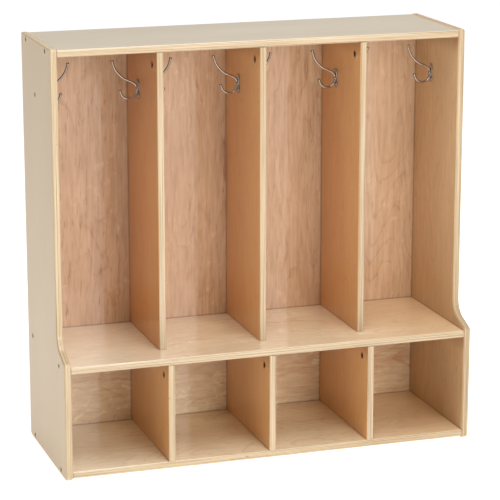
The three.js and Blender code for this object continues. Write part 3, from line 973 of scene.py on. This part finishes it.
def cam_pin():
    """A pin along +X, with its head at 0 in the cam and its thread in the board above."""
    half = PIN_HEAD["head_height"] / 2
    shoulder = CAM_FROM_END - CLEARANCE
    collar = shoulder - PIN["collar_height"]
    end = CAM_FROM_END + PIN["thread_height"]
    return turned(rounded_profile([
        (0, -half),
        (PIN_HEAD["head"] / 2, -half),
        (PIN_HEAD["head"] / 2, half),
        (PIN_HEAD["neck"] / 2, half),
        (PIN_HEAD["neck"] / 2, collar),
        (PIN["collar"] / 2, collar),
        (PIN["collar"] / 2, shoulder),
        (PIN["thread"] / 2, shoulder),
        (PIN["thread"] / 2, end),
        (0, end),
    ], PIN_ROUNDED))


def dowel():
    radius, chamfer = DOWEL["diameter"] / 2, DOWEL["chamfer"]
    return turned([
        (0, -DOWEL["down"]),
        (radius - chamfer, -DOWEL["down"]),
        (radius, chamfer - DOWEL["down"]),
        (radius, DOWEL["up"] - chamfer),
        (radius - chamfer, DOWEL["up"]),
        (0, DOWEL["up"]),
    ])


def hook_stud(thickness):
    reach = thickness / 2 + HOOK_TAP - CLEARANCE
    radius = HOOK_BOLT["thread"] / 2
    ends = [(0, -reach), (radius, -reach), (radius, reach), (0, reach)]
    return turned(rounded_profile(ends, STUD_ROUNDED))


# ---- Coat hooks ----


def smooth_line(points, per_span):
    """A centripetal Catmull-Rom line through points, which runs straight on at both ends."""
    points = [Vector(point) for point in points]
    padded = [2 * points[0] - points[1], *points, 2 * points[-1] - points[-2]]
    line = []
    for p0, p1, p2, p3 in zip(padded, padded[1:], padded[2:], padded[3:]):
        gaps = [math.sqrt((b - a).length) for a, b in ((p0, p1), (p1, p2), (p2, p3))]
        out = ((p1 - p0) / gaps[0] - (p2 - p0) / (gaps[0] + gaps[1]) + (p2 - p1) / gaps[1]) * gaps[1]
        arrive = ((p2 - p1) / gaps[1] - (p3 - p1) / (gaps[1] + gaps[2]) + (p3 - p2) / gaps[2]) * gaps[1]
        for step in range(per_span):
            t = step / per_span
            curve = p1 * (2 * t ** 3 - 3 * t ** 2 + 1) + out * (t ** 3 - 2 * t ** 2 + t)
            curve += p2 * (3 * t ** 2 - 2 * t ** 3) + arrive * (t ** 3 - t ** 2)
            line.append(curve)
    line.append(points[-1])
    return line


def prongs(sides=16):
    """Both prongs as one round bar in the XZ plane, ending in balls."""
    line = smooth_line([(out * MM, up * MM) for out, up in PRONG_LINE], 6)
    ball, rod = HOOK["ball"] / 2, HOOK["rod"] / 2
    tangents = []
    for index in range(len(line)):
        tangents.append((line[min(index + 1, len(line) - 1)] - line[max(index - 1, 0)]).normalized())
    # Each ball is centred on an end of the line: it swells just before the end and closes past it.
    neck = math.degrees(math.asin(rod / ball))
    polar = [neck + (180 - neck) * step / 10 for step in range(11)]
    start, end = [], []
    for angle in map(math.radians, polar):
        along, radius = ball * math.cos(angle), ball * math.sin(angle)
        start.insert(0, (line[0] + tangents[0] * along, radius, tangents[0]))
        end.append((line[-1] - tangents[-1] * along, radius, tangents[-1]))
    clear = ball * math.cos(math.radians(neck)) + HOOK["ball_gap"]
    bar = [
        (point, rod, tangent)
        for point, tangent in zip(line, tangents)
        if min((point - line[0]).length, (point - line[-1]).length) > clear
    ]
    rings = []
    for point, radius, tangent in [*start, *bar, *end]:
        if radius < HOOK["pole"]:
            rings.append([(point.x, 0.0, point.y)])
            continue
        ring = []
        for side in range(sides):
            angle = 2 * math.pi * side / sides
            out, level = radius * math.cos(angle), radius * math.sin(angle)
            ring.append((point.x - tangent.y * out, level, point.y + tangent.x * out))
        rings.append(ring)
    return skin(rings, "prongs")


def hook_plate():
    """The wall plate: a round lobe above and below a narrow waist, in Y and Z, with a rounded rim."""
    lobe, lobe_z = HOOK["lobe"], HOOK["lobe_z"]
    shoulder, shoulder_z = lobe * math.cos(math.pi / 6), lobe_z - lobe * math.sin(math.pi / 6)
    pinch = 2 * HOOK["waist"] - shoulder
    outline = arc((0, lobe_z), lobe, -30, 210, 24)
    outline += waist_curve((-shoulder, shoulder_z), (-pinch, 0), (-shoulder, -shoulder_z))
    outline += arc((0, -lobe_z), lobe, 150, 390, 24)
    outline += waist_curve((shoulder, -shoulder_z), (pinch, 0), (shoulder, shoulder_z))
    return plate(outline, CLEARANCE, CLEARANCE + HOOK["plate"], "yzx", HOOK["plate_round"], 4)


def waist_curve(start, control, end, steps=10):
    """The inner points of a quadratic curve."""
    points = []
    for step in range(1, steps):
        t = step / steps
        curve = Vector(start) * (1 - t) ** 2 + Vector(control) * 2 * t * (1 - t) + Vector(end) * t ** 2
        points.append((curve.x, curve.y))
    return points


def coat_hook():
    """A hook on a wall at x = 0, with its prongs reaching out along +X."""
    radius = HOOK["boss"] / 2
    back, front = CLEARANCE + HOOK["boss_start"], CLEARANCE + HOOK["boss_height"]
    ends = [(0, back), (radius, back), (radius, front), (0, front)]
    boss = turned(rounded_profile(ends, BOSS_ROUNDED, 5))
    mesh = hook_plate()
    for part in (boss, prongs()):
        mesh = combined(mesh, [part], "UNION")
    return combined(mesh, [hole(HOOK_BOLT["thread"], -PAST, HOOK_TAP)], "DIFFERENCE")


# ---- Putting it together ----


def build_boards():
    side_panel("left", -1)
    side_panel("right", 1)
    for board in LEVELS:
        level_panel(board)
    for tier in TIERS:
        back_panel(tier)
        for index in DIVIDERS:
            divider(tier, index)


def build_fasteners():
    steel, zinc, wood = metal("dark_steel"), metal("zinc"), beech()
    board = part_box("left_side_panel")
    thickness = board[1].x - board[0].x
    screw, bolt, stud = connector_screw(), hook_bolt(thickness), hook_stud(thickness)
    cam, pin, peg = cam_lock(), cam_pin(), dowel()
    for side, hand in (("left", -1), ("right", 1)):
        turn = Matrix.Identity(4) if hand < 0 else HALF_TURN
        names = [f"screw_{side}_{level}_{end}" for level in LEVELS for end in ("front", "rear")]
        for node, mesh in [*((name, screw) for name in names), (f"hook_bolt_{side}", bolt)]:
            low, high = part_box(node)
            head = low.x if hand < 0 else high.x
            centre = middle_of(node)
            show(node, placed(mesh, move(head, centre.y, centre.z) @ turn), steel)
    for index in DIVIDERS:
        node = f"hook_stud_{index}"
        show(node, placed(stud, move(*middle_of(node))), steel)
    for tier in TIERS:
        for index in DIVIDERS:
            cam_node, pin_node = f"cam_lock_{tier}_{index}", f"cam_pin_{tier}_{index}"
            centre = middle_of(cam_node)
            show(cam_node, placed(cam, move(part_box(cam_node)[0].x, centre.y, centre.z)), zinc)
            upright = middle_of(pin_node)
            show(pin_node, placed(pin, move(upright.x, upright.y, centre.z) @ UPRIGHT), zinc)
            dowel_node = f"dowel_{tier}_{index}"
            spot = middle_of(dowel_node)
            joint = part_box(dowel_node)[0].z + DOWEL["down"]
            show(dowel_node, placed(peg, move(spot.x, spot.y, joint) @ UPRIGHT), wood)


def build_hooks():
    chrome = metal("chrome")
    hook = coat_hook()
    spot = middle_of("hook_bolt_left")
    for bay in BAYS:
        left, right = wall_faces(bay - 1)[1], wall_faces(bay)[0]
        left_mesh = placed(hook, move(left, spot.y, spot.z))
        right_mesh = placed(hook, move(right, spot.y, spot.z) @ HALF_TURN)
        show(f"coat_hook_{bay}_left", left_mesh, chrome, 40)
        show(f"coat_hook_{bay}_right", right_mesh, chrome, 40)


# ---- Room ----


def direction(azimuth, elevation):
    """From the object towards a place given by angles in degrees. Azimuth 0 is in front."""
    a, e = math.radians(azimuth), math.radians(elevation)
    return Vector((math.sin(a) * math.cos(e), -math.cos(a) * math.cos(e), math.sin(e)))


def aim(thing, target, away):
    thing.location = target + away
    thing.rotation_mode = "QUATERNION"
    thing.rotation_quaternion = (-away).to_track_quat("-Z", "Y")


def build_camera():
    data = bpy.data.cameras.new("camera")
    data.lens = CAMERA["lens"]
    data.sensor_width = SENSOR
    camera = bpy.data.objects.new("camera", data)
    bpy.context.scene.collection.objects.link(camera)
    away = direction(CAMERA["azimuth"], CAMERA["elevation"]) * CAMERA["distance"]
    aim(camera, Vector(CAMERA["target"]), away)
    bpy.context.scene.camera = camera


def build_lights():
    world = bpy.data.worlds.new("studio")
    world.use_nodes = True
    background = world.node_tree.nodes["Background"]
    background.inputs["Color"].default_value = WHITE
    background.inputs["Strength"].default_value = WORLD_LIGHT
    bpy.context.scene.world = world
    for name, box in SOFT_BOXES.items():
        data = bpy.data.lights.new(name, "AREA")
        data.energy = box["power"]
        data.size = box["size"]
        light = bpy.data.objects.new(name, data)
        bpy.context.scene.collection.objects.link(light)
        aim(light, Vector(LIGHT_TARGET), direction(box["azimuth"], box["elevation"]) * box["distance"])


def build_floor():
    bm = bmesh.new()
    bmesh.ops.create_grid(bm, x_segments=4, y_segments=4, size=FLOOR_SIZE / 2)
    mesh = to_mesh(bm, "floor")
    g = Graph("floor")
    g.set(
        Base_Color=rgb(FLOOR_ALBEDO, FLOOR_ALBEDO, FLOOR_ALBEDO),
        Roughness=FLOOR_ROUGHNESS,
        Specular_IOR_Level=FLOOR_SPECULAR,
        Emission_Color=WHITE,
        Emission_Strength=FLOOR_GLOW,
    )
    mesh.materials.append(g.material)
    floor = bpy.data.objects.new("floor", mesh)
    bpy.context.scene.collection.objects.link(floor)


bpy.context.scene.view_settings.view_transform = "Standard"
build_camera()
build_lights()
build_floor()
build_boards()
build_fasteners()
build_hooks()
